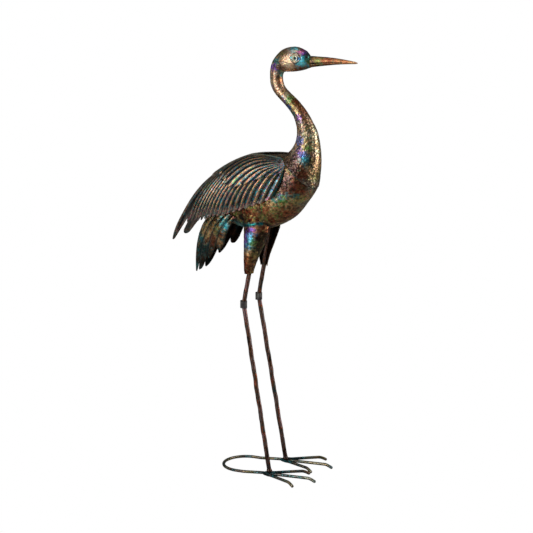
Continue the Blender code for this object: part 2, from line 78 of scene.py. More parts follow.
# Beak: centre x, centre z, half depth, half width
BEAK_STATIONS = [
    (82.6, 1006.5, 13.4, 10.8),
    (98, 1007.8, 11.8, 9.3),
    (120, 1009.2, 10.0, 7.6),
    (145, 1010.2, 7.6, 5.6),
    (172, 1010.0, 4.8, 3.6),
    (190, 1009.3, 2.8, 2.2),
    (197.6, 1008.8, 1.0, 0.9),
]
# The surface that the wing's sheet is pressed to: x, crest z, widest z, half width
COWL = [
    (-266, 590, 548, 25),
    (-254, 612, 563, 40),
    (-240, 638, 580, 44),
    (-202, 692, 612, 57),
    (-160, 727.5, 640, 69),
    (-110, 757.5, 664, 75),
    (-60, 778.5, 684, 77),
    (-10, 789, 700, 76),
    (20, 791.5, 716, 69),
    (45, 788, 730, 57),
]
# Wing feathers: place from front to back, root x and z, bend x and z, tip x and z, end of the coverts
FAN = [
    (0.00, 37, 764, 40, 728, 14, 692, 0.14),
    (0.10, 37, 766, 6, 742, -17, 677, 0.34),
    (0.20, 36, 768, -30, 751, -50, 664, 0.50),
    (0.40, 34, 772, -76, 762, -107, 643, 0.68),
    (0.60, 31, 776, -104, 790, -150, 631, 0.68),
    (0.80, 28, 779, -129, 804, -189, 617, 0.62),
    (0.94, 25, 780, -150, 800, -216, 613, 0.58),
]
# The long last feather, with the same columns
LAST_FEATHER = [
    (0.95, 25, 780, -154, 800, -256, 560, 0.56),
    (1.00, 22, 782, -171, 805, -265.2, 566, 0.56),
]
FAN_FEATHERS = 17
COVERTS = 10.5
FEATHER_RIDGE = 2.2
TIER_STEP = 2.2
SCALLOP = 0.035
SHEET = 1.4
# Fine barbs across each feather and the raised shaft down its middle
BARB_SPACING = 4.6
SHAFT_RISE = 0.55
BARB_DEPTH = 0.32
# Tail feathers from the front edge to the rear one: place, root, bend and tip as x, y, z
TAIL = [
    (0.00, -84, 52, 634, -112, 58, 604, -124, 38, 553),
    (0.25, -98, 49, 638, -134, 57, 606, -148, 35, 545),
    (0.50, -110, 45, 642, -156, 54, 610, -177, 22, 512),
    (0.75, -121, 38, 648, -183, 46, 612, -205, 7, 482),
    (1.00, -131, 30, 656, -206, 34, 620, -214.5, 4, 489),
]
TAIL_FEATHERS = 4
TAIL_RIDGE = 3.0
TAIL_NOTCH = 0.14
# Thigh: share of its length, front x, back x, inner y, outer y
THIGH = [
    (0.0, -9, -71, 31, 55),
    (0.35, -23, -70, 33, 56),
    (0.7, -37.5, -69, 36, 55),
    (0.9, -44, -67.5, 38.5, 53.5),
    (1.0, -46, -66, 40, 52.5),
]
THIGH_TOP = 645
THIGH_HEM = 600
THIGH_BOTTOM = 500
THIGH_TURN = 6
# Legs and feet
LEG_RADIUS = 5.5
TOE_RADIUS = 3.5
FOOT_SPREAD = 54.4
ANKLE = (0, 50.2, 11.8)
KNEE = (-70, 44.4, 422.3)
HIP = (-31.4, 40.1, 640)
COLLAR_REACH = 8.4
COLLAR_HALF = 9.2
ARCH_RISE = 4.5
KNUCKLE_RISE = 6.6
MIDDLE_TOE = 123
SIDE_TOE = 112
SIDE_TOE_ROOT = -12
TOE_TIP = 16
OUTER_TURN = math.radians(28.3)
INNER_TURN = math.asin((FOOT_SPREAD - TOE_RADIUS - 0.8) / SIDE_TOE)
LOOP_ARM = 86
# Gaps left at a weld on the trunk and at the knee's mitre
WELD_GAP = 0.4
MITRE_GAP = 0.15
# The eye: middle x and z, half length and height, slant, pupil's radius
EYE_AT = (51, 1015)
EYE_HALF = (13.5, 9.0)
EYE_SLANT = math.radians(4)
PUPIL = 4.9
# The fine weld up the jaw: x, bottom and top
JAW_WELD = (45.5, 985, 1003)
# Where the beak parts: height as a share of its half depth, and half width of the groove
GAPE = (-0.38, 0.09)
# Hammer marks: how far across they are and how deep
HEAD_MARK = 6.0
TRUNK_MARK = 7.6
TRUNK_MARK_DEPTH = 0.8
SHEET_MARK = 7.0
SHEET_MARK_DEPTH = 0.4
BEAK_MARK = 9.0
BEAK_MARK_DEPTH = 0.15
ROD_MARK = 6.0
# Points round the bodies and along the sheets
HEAD_SIDES = 216
TRUNK_SIDES = 208
BEAK_SIDES = 96
LEG_SIDES = 28
TOE_SIDES = 24
WING_ROWS = 180
FAN_STEPS = 10
LAST_STEPS = 9
TAIL_ROWS = 110
TAIL_STEPS = 14
THIGH_ROWS = 96
THIGH_TOP_ROWS = 34
THIGH_COLUMNS = 56
# Distance between the rings of a rod
LEG_SPACING = 1.6
TOE_SPACING = 1.3

SIDES = ((-1, "right"), (1, "left"))

# Patina colours, some also used for painted highlights and shade
COLOURS = {
    "dark": (0.020, 0.014, 0.010),
    "deep_teal": (0.008, 0.045, 0.050),
    "brown": (0.130, 0.055, 0.024),
    "red_brown": (0.240, 0.055, 0.022),
    "copper": (0.520, 0.240, 0.110),
    "gold": (0.780, 0.510, 0.250),
    "peach": (0.740, 0.500, 0.360),
    "rose": (0.620, 0.220, 0.240),
    "magenta": (0.480, 0.090, 0.330),
    "violet": (0.240, 0.100, 0.620),
    "blue": (0.060, 0.180, 0.620),
    "cyan": (0.090, 0.700, 0.880),
    "teal": (0.020, 0.260, 0.290),
    "green": (0.130, 0.460, 0.110),
    "olive": (0.250, 0.245, 0.080),
    "grey": (0.220, 0.210, 0.190),
    "slate": (0.110, 0.100, 0.105),
    "mauve": (0.190, 0.115, 0.115),
    "cream": (0.720, 0.640, 0.440),
}


def smooth(rows, steps):
    """Rows of numbers joined by a curve through each of them. steps is for all spans or for each."""
    knots = np.array(rows, dtype=float)
    padded = np.vstack([2 * knots[0] - knots[1], knots, 2 * knots[-1] - knots[-2]])
    joined = []
    for index, count in enumerate(np.broadcast_to(steps, len(knots) - 1), 1):
        before, start, end, after = padded[index - 1:index + 3]
        for t in np.arange(count) / count:
            joined.append(0.5 * (2 * start + (end - before) * t
                                 + (2 * before - 5 * start + 4 * end - after) * t ** 2
                                 + (3 * start - before - 3 * end + after) * t ** 3))
    joined.append(knots[-1])
    return np.array(joined)


def lookup(table, place):
    """Each column after the first, at places along the first one, as an array each."""
    return [np.interp(place, table[:, 0], table[:, column]) for column in range(1, table.shape[1])]


def row_frame(points):
    """Millimetres from the ankle line to metres in the part's frame."""
    return points * MM + np.array((ANKLE_X, 0, 0))


def unit(vectors):
    return vectors / np.linalg.norm(vectors, axis=-1, keepdims=True)


def normals_of(grid, wrapped):
    """Unit normals of a grid of points, rows by columns."""
    if wrapped:
        across = np.roll(grid, -1, axis=1) - np.roll(grid, 1, axis=1)
    else:
        across = np.gradient(grid, axis=1)
    along = np.gradient(grid, axis=0)
    normal = np.cross(across, along)
    return normal / np.maximum(np.linalg.norm(normal, axis=2, keepdims=True), 1e-9)


def each_point(grid, size, measure):
    """A number from measure for each point of a grid, in units of size."""
    flat = grid.reshape(-1, 3) / size
    return np.array([measure(Vector(point)) for point in flat]).reshape(grid.shape[:-1])


def dimples(grid, size):
    """Hammer marks: 0 on the ridges between marks and -1 in the middle of each."""
    nearest = each_point(grid, size, lambda point: noise.voronoi(point)[0][0])
    return np.minimum(nearest / 0.62, 1) ** 2 - 1


def wander(grid, size, shift):
    """Soft noise from 0 to 1."""
    values = each_point(grid + shift, size, lambda point: noise.fractal(point, 0.7, 2.1, 3))
    return np.clip(0.5 + 0.9 * values, 0, 1)


def ramp(values, names):
    """Colours for values from 0 to 1, from the named colours in turn."""
    table = np.array([COLOURS[name] for name in names.split()])
    stops = np.linspace(0, 1, len(table))
    return np.stack([np.interp(values, stops, table[:, channel]) for channel in range(3)], axis=-1)


def drifting(grid, size, shift, names):
    """Named colours that drift softly over a grid."""
    return ramp(wander(grid, size, shift), names)


def blend(under, over, share):
    """Colours with others laid over them by a share. over is a colour's name or an array."""
    if isinstance(over, str):
        over = np.array(COLOURS[over])
    share = np.clip(share, 0, 1)[..., None]
    return under * (1 - share) + over * share


def bell(away, width):
    """1 in the middle, falling softly to 0 over the width."""
    return np.exp(-(away / width) ** 2)


def hammered(marks, low, gain):
    """How bright each point is, from the worn ridges between hammer marks down to the marks."""
    return (low + gain * (marks + 1))[..., None]


def patches(colours, grid, marks, ragged):
    """Colours with patches of others over them, each with a ragged edge."""
    shift_x = ragged * (wander(grid, 1.6 * ragged, 91) - 0.5) * 2
    shift_z = ragged * (wander(grid, 1.4 * ragged, 47) - 0.5) * 2
    x = grid[..., 0] + shift_x
    z = grid[..., 2] + shift_z
    specks = 0.15 + 1.7 * wander(grid, 4.5, 23) ** 1.5
    total = np.ones(grid.shape[:-1])
    mixed = colours.copy()
    for mark_x, mark_z, radius, name, strength in marks:
        weight = strength * specks * np.exp(-1.3 * ((x - mark_x) ** 2 + (z - mark_z) ** 2) / radius ** 2)
        mixed += weight[..., None] * np.array(COLOURS[name])
        total += weight
    return mixed / total[..., None]


def quads(rows, columns, wrapped, start=0, turned=False):
    """Four-sided faces over a grid of points."""
    faces = []
    for row in range(rows - 1):
        here = start + row * columns
        there = here + columns
        for column in range(columns if wrapped else columns - 1):
            following = (column + 1) % columns
            face = [here + column, here + following, there + following, there + column]
            faces.append(face[::-1] if turned else face)
    return faces


def in_scene(name, data):
    made = bpy.data.objects.new(name, data)
    bpy.context.scene.collection.objects.link(made)
    return made


def add_piece(name, mesh, look, node):
    """A mesh in the scene, with its look, standing for one CAD node."""
    mesh.materials.append(look)
    piece = in_scene(name, mesh)
    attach(piece, "root")
    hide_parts(node)


def place_piece(name, points, faces, colours, look, node, metal=1.0):
    """A mesh with its patina colours, which hold painted light and shade on some pieces, and how metallic
    each point is, standing for one CAD node.
    """
    mesh = bpy.data.meshes.new(name)
    mesh.from_pydata(row_frame(points).tolist(), [], faces)
    mesh.update()
    mesh.shade_smooth()
    paint = mesh.color_attributes.new("patina_and_painted_light", "FLOAT_COLOR", "POINT")
    rgba = np.ones((len(points), 4))
    rgba[:, :3] = colours
    rgba[:, 3] = metal
    paint.data.foreach_set("color", rgba.ravel())
    add_piece(name, mesh, look, node)


def tube(name, rings, colours, look, node):
    """A closed body through rings, rows by sides."""
    rows, sides = rings.shape[:2]
    faces = quads(rows, sides, True)
    faces.append(list(range(sides))[::-1])
    faces.append([(rows - 1) * sides + side for side in range(sides)])
    place_piece(name, rings.reshape(-1, 3), faces, colours.reshape(-1, 3), look, node)


def sheet(name, grids, turned, look, node, metal=1.0):
    """A closed sheet. The grids are its outer and inner points and their colours."""
    if turned:
        grids = [grid[:, ::-1] for grid in grids]
    outer, inner, colours, inner_colours = grids
    rows, columns = outer.shape[:2]
    count = rows * columns
    faces = quads(rows, columns, False) + quads(rows, columns, False, count, True)
    border = [(0, column) for column in range(columns)]
    border += [(row, columns - 1) for row in range(1, rows)]
    border += [(rows - 1, column) for column in range(columns - 2, -1, -1)]
    border += [(row, 0) for row in range(rows - 2, 0, -1)]
    for here, there in zip(border, border[1:] + border[:1]):
        near = here[0] * columns + here[1]
        far = there[0] * columns + there[1]
        faces.append([far, near, count + near, count + far])
    points = np.vstack([outer.reshape(-1, 3), inner.reshape(-1, 3)])
    tints = np.vstack([colours.reshape(-1, 3), inner_colours.reshape(-1, 3)])
    place_piece(name, points, faces, tints, look, node, metal)


def round_turn(sides):
    return 2 * math.pi * np.arange(sides) / sides


def figure_grid(stations, sides):
    """Oval rings of the bird's own form from smooth station rows."""
    turn = round_turn(sides)
    x, z, tilt, depth, width, square = [column[:, None] for column in stations.T]
    lean = np.radians(tilt)
    reach = (np.abs(np.cos(turn)) ** square + np.abs(np.sin(turn)) ** square) ** (-1 / square)
    back = depth * reach * np.cos(turn)
    side = width * reach * np.sin(turn)
    return np.stack([x - np.cos(lean) * back, side, z + np.sin(lean) * back], axis=2)


# Looks

COAT_ROUGHNESS = 0.18
BUMP_HEIGHT = 0.0012
# Ramps of noise: place and colour
SPECKLE = [
    (0.30, (0.55, 0.62, 0.66)),
    (0.46, (0.95, 0.94, 0.94)),
    (0.58, (1.05, 1.02, 0.98)),
    (0.72, (1.45, 1.35, 1.15)),
]
STAIN = [
    (0.34, (0.45, 1.05, 1.15)),
    (0.42, (1.0, 1.0, 1.0)),
    (0.48, (1.35, 0.70, 0.60)),
    (0.54, (1.0, 1.0, 1.0)),
    (0.60, (0.75, 1.20, 0.60)),
    (0.68, (1.10, 0.75, 1.30)),
]
IRON = [
    (0.30, COLOURS["dark"]),
    (0.45, COLOURS["slate"]),
    (0.58, COLOURS["grey"]),
    (0.72, COLOURS["slate"]),
]


def link(tree, out_node, out_name, in_node, in_name):
    tree.links.new(out_node.outputs[out_name], in_node.inputs[in_name])


def put(node, values):
    """Fixed values on a node's own sockets."""
    for name, value in values.items():
        node.inputs[name].default_value = value


def multiplied(tree, base, shades, share):
    """A colour socket multiplied by a ramp's colours, by a share."""
    mix = tree.nodes.new("ShaderNodeMix")
    mix.data_type = "RGBA"
    mix.blend_type = "MULTIPLY"
    mix.inputs[0].default_value = share
    tree.links.new(base, mix.inputs[6])
    tree.links.new(shades.outputs["Color"], mix.inputs[7])
    return mix.outputs[2]


def grain(tree, coordinates, scale, detail, stops):
    """A noise texture turned into colours by a ramp."""
    cloud = tree.nodes.new("ShaderNodeTexNoise")
    put(cloud, {"Scale": scale, "Detail": detail})
    link(tree, coordinates, "Object", cloud, "Vector")
    shades = tree.nodes.new("ShaderNodeValToRGB")
    band = shades.color_ramp
    band.elements[0].position = stops[0][0]
    band.elements[0].color = (*stops[0][1], 1)
    band.elements[1].position = stops[-1][0]
    band.elements[1].color = (*stops[-1][1], 1)
    for place, colour in stops[1:-1]:
        added = band.elements.new(place)
        added.color = (*colour, 1)
    link(tree, cloud, "Fac", shades, "Fac")
    return shades


def patina_look(name, gloss, plain=None, mark_size=4.5, mark_depth=0.2, coat=0.3, specks=1.0):
    """Lacquered metal with speckle, uneven gloss and fine hammer marks. mark_size is in millimetres."""
    look = bpy.data.materials.new(name)
    look.use_nodes = True
    tree = look.node_tree
    shader = tree.nodes["Principled BSDF"]
    put(shader, {"Metallic": 1.0, "Coat Weight": coat, "Coat Roughness": COAT_ROUGHNESS})
    coordinates = tree.nodes.new("ShaderNodeTexCoord")
    if plain:
        base = grain(tree, coordinates, 55, 3, plain)
    else:
        base = tree.nodes.new("ShaderNodeAttribute")
        base.attribute_name = "patina_and_painted_light"
        link(tree, base, "Alpha", shader, "Metallic")
    speckle = grain(tree, coordinates, 330, 2, SPECKLE)
    colour = multiplied(tree, base.outputs["Color"], speckle, 0.5 * specks)
    stain = grain(tree, coordinates, 150, 2, STAIN)
    colour = multiplied(tree, colour, stain, 0.6 * specks)
    tree.links.new(colour, shader.inputs["Base Color"])
    shiny, dull = gloss
    wear = grain(tree, coordinates, 120, 3, [(0.3, (shiny,) * 3), (0.7, (dull,) * 3)])
    link(tree, wear, "Color", shader, "Roughness")
    marks = tree.nodes.new("ShaderNodeTexVoronoi")
    marks.feature = "SMOOTH_F1"
    put(marks, {"Scale": 1 / (mark_size * MM), "Smoothness": 0.35})
    link(tree, coordinates, "Object", marks, "Vector")
    bump = tree.nodes.new("ShaderNodeBump")
    put(bump, {"Strength": mark_depth, "Distance": BUMP_HEIGHT})
    link(tree, marks, "Distance", bump, "Height")
    link(tree, bump, "Normal", shader, "Normal")
    return look


# Head and neck

HEAD_SPANS = [22] * 7 + [15] * (len(HEAD_STATIONS) - 8)
TRUNK_SPANS = [26] * len(TRUNK_STATIONS)
FIGURE_ROWS = smooth(HEAD_STATIONS + TRUNK_STATIONS, HEAD_SPANS + TRUNK_SPANS)
WELD_ROW = sum(HEAD_SPANS)


# Where the head is painted lighter or darker, as painted light and shade for how the lamps fall on it: x, z,
# spread and gain
HEAD_PAINTED_LIGHT = [
    (36, 1000, 170, 1.0),
    (28, 1022, 220, -0.45),
    (63, 1005, 90, 0.4),
]
# Patches seen on the bird: x, z, radius, colour and strength
HEAD_PATCHES = [
    (44, 1037, 9, "cyan", 9), (38, 1033, 7, "cyan", 6), (56, 1037, 5, "olive", 20),
    (46, 1030, 5, "olive", 14), (62, 1032, 7, "magenta", 10), (70, 1028, 7, "violet", 6),
    (77, 1023, 9, "dark", 8), (66, 1008, 11, "cyan", 14), (59, 1002, 8, "cyan", 10),
    (82, 1012, 8, "green", 5), (38, 1002, 13, "peach", 18), (30, 1022, 13, "peach", 12),
    (26, 1016, 8, "olive", 3), (50, 990, 12, "red_brown", 14), (68, 990, 11, "brown", 8),
    (14, 1024, 9, "olive", 6), (3, 1006, 8, "teal", 8), (-6, 991, 8, "violet", 6),
    (12, 994, 9, "brown", 7), (10, 976, 7, "teal", 6), (-5, 971, 9, "peach", 5),
    (-7, 955, 9, "cream", 4), (6, 961, 8, "red_brown", 6), (-17, 946, 6, "violet", 4),
    (6, 938, 10, "peach", 5), (31, 916, 6, "green", 5), (44, 902, 8, "olive", 6),
    (22, 913, 6, "violet", 5), (33, 897, 7, "blue", 8), (43, 885, 7, "teal", 6),
    (55, 907, 11, "red_brown", 8), (69, 888, 10, "red_brown", 6), (56, 889, 7, "gold", 5),
    (59, 876, 7, "violet", 5), (62, 866, 8, "grey", 4), (84, 866, 8, "peach", 6),
    (75, 872, 7, "brown", 6), (73, 844, 10, "grey", 5), (81, 853, 7, "olive", 4),
    (97, 833, 14, "cream", 6), (64, 824, 9, "blue", 5), (84, 823, 9, "olive", 6),
    (90, 807, 8, "green", 4), (94, 796, 9, "brown", 7), (94, 775, 10, "dark", 6),
    (67, 798, 7, "violet", 5), (77, 793, 7, "blue", 6), (83, 783, 8, "cyan", 10),
    (55, 784, 10, "mauve", 6), (50, 768, 13, "mauve", 9), (64, 760, 11, "mauve", 7),
    (80, 748, 12, "red_brown", 12), (60, 745, 9, "mauve", 8), (97, 758, 7, "gold", 5),
    (104, 797, 10, "cream", 5), (107, 770, 11, "gold", 5), (102, 740, 11, "olive", 5),
    (90, 733, 9, "grey", 5), (66, 745, 8, "dark", 4),
]


def eye_lines(x, y, z):
    """Each point against the eye: its place in the lids and in the pupil, both 1 on the rim, how far ahead of
    the middle it is, its share of the flat dish round the eye, and if it is on a cheek."""
    along_x = x - EYE_AT[0]
    along_z = z - EYE_AT[1]
    ahead = along_x * math.cos(EYE_SLANT) - along_z * math.sin(EYE_SLANT)
    above = along_x * math.sin(EYE_SLANT) + along_z * math.cos(EYE_SLANT)
    half_length, half_height = EYE_HALF
    lid = np.abs(above) / (half_height * np.maximum(0.02, 1 - (np.abs(ahead) / half_length) ** 1.7))
    lid = np.where(np.abs(ahead) < half_length, lid, half_height)
    pupil = np.hypot(ahead, above) / PUPIL
    on_cheek = np.abs(y) > 8
    flat = np.exp(-(np.hypot(ahead / 1.25, above) / 14) ** 4) * on_cheek
    return lid, pupil, ahead, flat, on_cheek


def make_head_and_neck(look):
    grid = figure_grid(FIGURE_ROWS[:WELD_ROW + 1], HEAD_SIDES)
    normal = normals_of(grid, True)
    marks = dimples(grid * (1, 1, 1.35), HEAD_MARK)
    x, y, z = grid[..., 0], grid[..., 1], grid[..., 2]
    lid, pupil, ahead, flat, on_cheek = eye_lines(x, y, z)
    in_eye = lid < 1
    lid_rim = bell(lid - 1, 0.22)
    pupil_rim = bell(pupil - 1, 0.2) * in_eye
    # The welds round the neck's foot and up the jaw
    weld = bell((1 - np.linspace(0, 1, len(grid))[:, None]) * len(grid), 1.6)
    jaw_x, jaw_bottom, jaw_top = JAW_WELD
    jaw = bell(x - jaw_x, 0.9) * (z < jaw_top) * (z > jaw_bottom)
    relief = np.interp(z, (860, 900, 990), (0.9, 0.42, 0.3)) * marks * (1 - flat)
    relief += on_cheek * (1.2 * lid_rim + 0.9 * pupil_rim + 0.6 * in_eye)
    relief -= 0.4 * np.clip((z - 1030) / 10, 0, 1)
    relief += 0.9 * weld
    relief += 0.35 * jaw
    grid = grid + normal * relief[..., None]
    tint = drifting(grid, 22, 0, "brown olive gold copper grey peach olive cream")
    tint = patches(tint, grid, HEAD_PATCHES, 5)
    # Painted light and shade on the head: lighter on the lower cheek and in front of the eye, darker on the
    # top of the cheek under the key lamp's highlight
    for light_x, light_z, spread, gain in HEAD_PAINTED_LIGHT:
        tint = tint * (1 + gain * np.exp(-((x - light_x) ** 2 + (z - light_z) ** 2) / spread))[..., None]
    eye_paint = [
        ("teal", 0.8 * in_eye),
        ("blue", 0.6 * in_eye * (ahead > 3)),
        ("dark", 0.9 * bell(lid - 0.72, 0.14)),
        ("cream", 0.9 * bell(pupil - 1, 0.22) * in_eye),
        ("dark", 0.9 * (pupil < 0.68)),
        ("cream", 0.95 * lid_rim),
        ("dark", 0.85 * bell(lid - 1.45, 0.14)),
    ]
    for name, share in eye_paint:
        tint = blend(tint, name, on_cheek * share)
    tint = blend(tint, "cream", 0.6 * jaw)
    tint = blend(tint, "grey", 0.8 * weld)
    # Painted highlight in the hammer marks and painted shade on the ridges between them, strongest at the
    # front and low down the breast, and painted shade just behind the weld by the wing
    contrast = np.interp(x, (84, 100), (0.35, 0.8)) * np.interp(z, (860, 900, 960), (1, 0.4, 0.2))
    shaded = np.clip((90 - x) / 20, 0, 1) * np.clip((800 - z) / 30, 0, 1)
    tint = tint * ((1.05 - contrast + 1.9 * contrast * -marks) * (1 - 0.5 * shaded))[..., None]
    tube("neck_and_head_skin", grid, tint, look, "neck_and_head")


# Trunk

TRUNK_PATCHES = [
    (46, 738, 13, "mauve", 12), (52, 724, 12, "mauve", 12), (34, 722, 12, "mauve", 8),
    (66, 728, 10, "red_brown", 8), (53, 710, 11, "red_brown", 6), (76, 714, 12, "red_brown", 9),
    (85, 723, 9, "dark", 6), (93, 712, 10, "grey", 4), (64, 699, 7, "teal", 6), (44, 697, 7, "cyan", 3),
    (31, 699, 7, "blue", 2), (19, 689, 8, "teal", 6), (38, 686, 8, "green", 7), (48, 678, 9, "gold", 5),
    (68, 686, 12, "olive", 6), (57, 668, 10, "brown", 5), (42, 653, 12, "red_brown", 6),
    (6, 671, 8, "gold", 5), (-4, 660, 9, "red_brown", 6), (15, 658, 9, "olive", 6),
    (26, 643, 10, "brown", 6), (-20, 656, 10, "dark", 5), (-42, 644, 14, "red_brown", 6),
    (-16, 640, 9, "olive", 5), (-63, 634, 10, "dark", 5), (3, 636, 9, "red_brown", 6),
    (-85, 612, 11, "teal", 10), (-66, 615, 9, "deep_teal", 10), (-50, 620, 9, "teal", 9),
    (-34, 622, 8, "teal", 9), (-17, 625, 8, "deep_teal", 9), (76, 668, 13, "grey", 4),
]


def make_trunk(look):
    grid = figure_grid(FIGURE_ROWS[WELD_ROW:], TRUNK_SIDES)
    normal = normals_of(grid, True)
    marks = dimples(grid, TRUNK_MARK)
    grid = grid + normal * (TRUNK_MARK_DEPTH * marks)[..., None]
    tint = drifting(grid, 15, 5, "dark red_brown olive brown gold red_brown green copper")
    tint = patches(tint, grid, TRUNK_PATCHES, 6) * 1.15
    # Painted shade just behind the weld, by the wing
    shaded = np.clip((grid[..., 2] - 695) / 20, 0, 1)
    tint = tint * ((0.42 + marks + 1) * (1 - 0.35 * shaded))[..., None]
    tube("trunk_skin", grid, tint, look, "trunk")


# Beak

BEAK_PATCHES = [
    (84, 1016, 11, "dark", 7), (86, 1008, 9, "deep_teal", 5), (96, 1014, 8, "olive", 6),
    (104, 1008, 9, "green", 4), (96, 1002, 9, "brown", 5), (112, 1016, 8, "olive", 5),
    (122, 1012, 12, "red_brown", 9), (112, 1002, 9, "mauve", 4), (142, 1013, 13, "copper", 4),
    (140, 1004, 14, "brown", 4), (168, 1012, 20, "copper", 4), (190, 1009, 14, "gold", 3),
]


def make_beak(look):
    rows = smooth(BEAK_STATIONS, 14)
    turn = round_turn(BEAK_SIDES)
    x, z, depth, width = [column[:, None] for column in rows.T]
    above_gape = np.sin(turn) - GAPE[0]
    gape = bell(above_gape, GAPE[1])
    pinch = 1 - np.minimum(0.4, 0.9 / width) * gape
    upper = np.clip(above_gape * 6 + 0.5, 0, 1) + 0 * x
    grid = np.stack([x + 0 * turn, np.cos(turn) * width * pinch, z + np.sin(turn) * depth], axis=2)
    grid[0, :, 0] += 0.3
    normal = normals_of(grid, True)
    marks = dimples(grid, BEAK_MARK)
    fade = np.clip((198 - x) / 60, 0.1, 1)
    grid = grid + normal * (BEAK_MARK_DEPTH * marks * fade)[..., None]
    tint = drifting(grid, 18, 31, "red_brown copper copper gold copper")
    tint = blend(tint, drifting(grid, 16, 77, "copper gold brown copper"), 0.5 * (1 - upper))
    tint = patches(tint, grid, BEAK_PATCHES, 7) * 0.75
    tint = blend(tint, "dark", gape * 0.6 + 0 * x)
    tube("beak_skin", grid, tint, look, "beak")


# Wings

COWL_CURVE = smooth(COWL, 10)


def cowl_depth(x, z):
    """How far out of the middle plane the wing's sheet lies."""
    crest, widest, half_width = lookup(COWL_CURVE, x)
    rise = (z - widest) / (crest - widest)
    over = half_width * np.sqrt(np.maximum(0.0025, 1 - rise ** 2))
    under = half_width * (1 - 0.08 * rise ** 2)
    return np.where(rise > 0, over, under)


def cowl_normal(x, z, step=2.0):
    slope_x = (cowl_depth(x + step, z) - cowl_depth(x - step, z)) / (2 * step)
    slope_z = (cowl_depth(x, z + step) - cowl_depth(x, z - step)) / (2 * step)
    return unit(np.stack([-slope_x, np.ones_like(x), -slope_z], axis=-1))


def feather_bands(phase, width, length, along):
    """How far each point of a feather is from its middle line, and its shaft and barbs, from 0 to 1."""
    edge = np.abs(2 * phase - 1)
    shaft = bell(phase - 0.5, 0.10)
    slant = (along * length + np.abs(phase - 0.5) * width * 0.9) / BARB_SPACING
    barb = np.abs(slant % 1 - 0.5) * 2
    return edge, shaft, barb


def wing_shape():
    """The left wing: outer grid, inner grid, and where each point lies on its feather."""
    places = np.linspace(0, FAN[-1][0], FAN_FEATHERS * FAN_STEPS + 1)
    last = np.linspace(LAST_FEATHER[0][0], LAST_FEATHER[1][0], LAST_STEPS)
    last_phase = np.linspace(0.02, 1, LAST_STEPS)
    feather = np.concatenate([np.arange(len(places)) / FAN_STEPS, FAN_FEATHERS + last_phase])
    fan_lines = lookup(smooth(FAN, 12), places)
    last_lines = lookup(np.array(LAST_FEATHER), last)
    lines = [np.concatenate(pair) for pair in zip(fan_lines, last_lines)]
    root_x, root_z, bend_x, bend_z, tip_x, tip_z, coverts = lines
    in_fan = feather <= FAN_FEATHERS
    phase = feather - np.floor(feather)
    phase[-1] = 1
    # The coverts are wider, so they end between the feathers under them
    upper_feather = feather * COVERTS / FAN_FEATHERS
    upper_phase = np.where(in_fan, upper_feather % 1, phase)
    along = np.linspace(0, 1, WING_ROWS)[:, None]
    tip_edge = np.abs(2 * phase - 1)
    jagged = np.clip(0.8 + (feather - 6) / 20, 0.8, 1)
    short = np.where(in_fan, SCALLOP * jagged * tip_edge ** 2.2, 0.5 * SCALLOP * tip_edge ** 2.4)
    t = along * (1 - short)
    x = (1 - t) ** 2 * root_x + 2 * t * (1 - t) * bend_x + t ** 2 * tip_x
    z = (1 - t) ** 2 * root_z + 2 * t * (1 - t) * bend_z + t ** 2 * tip_z
    length = np.hypot(tip_x - root_x, tip_z - root_z)
    width = np.hypot(np.gradient(x, axis=1), np.gradient(z, axis=1)) * FAN_STEPS
    covert = coverts - 0.055 * np.abs(2 * upper_phase - 1) ** 2
    upper = np.clip((covert - along) / 0.006, 0, 1)
    low = feather_bands(phase, width, length, along)
    top = feather_bands(upper_phase, width, length, along)
    edge, shaft, barb = [np.where(upper > 0.5, over, under) for over, under in zip(top, low)]
    spread = np.clip((along - 0.12) * 5, 0, 1)
    hem = np.clip((along - 0.93) * 20, 0, 1)
    ridge = FEATHER_RIDGE * (upper * (1 - top[0] ** 1.7) + (1 - upper) * (1 - low[0] ** 1.7))
    lift = spread * (ridge + TIER_STEP * upper)
    fine = spread * (1 - hem) * (SHAFT_RISE * shaft - BARB_DEPTH * barb * (1 - edge ** 4))
    normal = cowl_normal(x, z)
    base = np.stack([x, cowl_depth(x, z), z], axis=2)
    outer = base + normal * (lift + fine + SHEET)[..., None]
    inner = base + normal * lift[..., None]
    shape = {"phase": np.where(upper > 0.5, upper_phase, phase), "along": along + 0 * t, "barb": barb,
             "place": feather / FAN_FEATHERS + 0 * t, "upper": upper, "covert": covert}
    return outer, inner, shape


